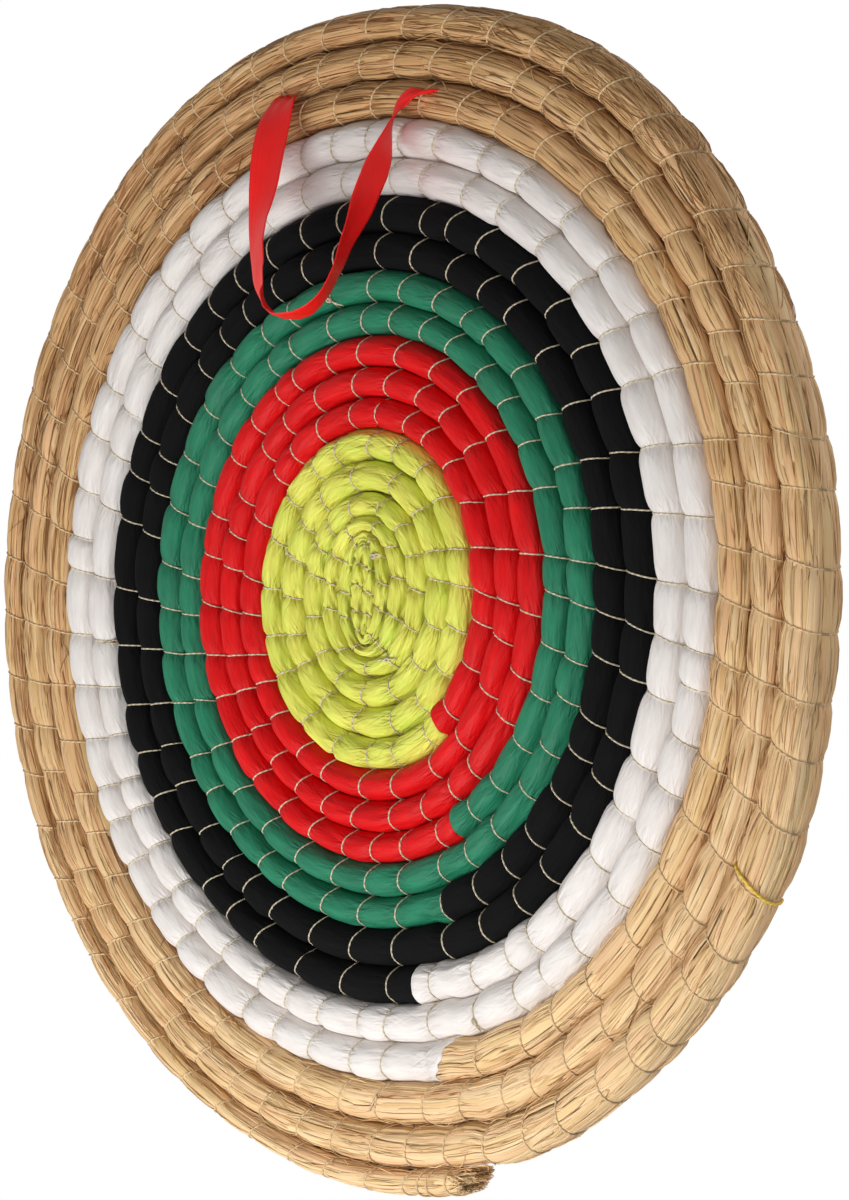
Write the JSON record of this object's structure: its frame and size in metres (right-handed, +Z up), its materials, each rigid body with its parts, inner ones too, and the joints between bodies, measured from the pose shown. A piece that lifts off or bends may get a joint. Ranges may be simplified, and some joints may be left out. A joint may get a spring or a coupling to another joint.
{
  "type": "archery target boss",
  "caption": "Round straw archery target: a straw rope coiled flat, its inner rounds in coloured wraps, with a ribbon loop to hang it by.",
  "frame": {"origin": "on the flat back of the coil, at the middle of the innermost round of rope", "axes": "+X across the face to the viewer's right, +Y out of the back so that the face looks along -Y, +Z up to the ribbon loop"},
  "size_m": [0.5017, 0.0694, 0.4996],
  "materials": {
    "straw": "dry straw, matt",
    "yellow_cloth": "thin cloth with a soft sheen",
    "red_cloth": "thin cloth with a soft sheen",
    "green_cloth": "thin cloth with a soft sheen",
    "black_cloth": "matt knitted cloth",
    "white_cloth": "matt knitted cloth",
    "twine": "twisted sewing twine",
    "gold_tie": "flat golden tie",
    "red_satin": "satin ribbon"
  },
  "bodies": {
    "coil": {"straw_rope": "straw", "yellow_wrap": "yellow_cloth", "red_wrap": "red_cloth", "green_wrap": "green_cloth", "black_wrap": "black_cloth", "white_wrap": "white_cloth", "end_whipping": "twine", "tie_band": "gold_tie", "ribbon_left_end": "red_satin", "ribbon_right_end": "red_satin"},
    "hanger": {"ribbon_loop": "red_satin"}
  },
  "joints": [
    {"name": "hanger_swing", "type": "hinge", "parent": "coil", "child": "hanger", "pos_m": [-0.0077, -0.033, 0.20493], "axis": [-1, 0, 0], "range_deg": [0, 150]}
  ]
}
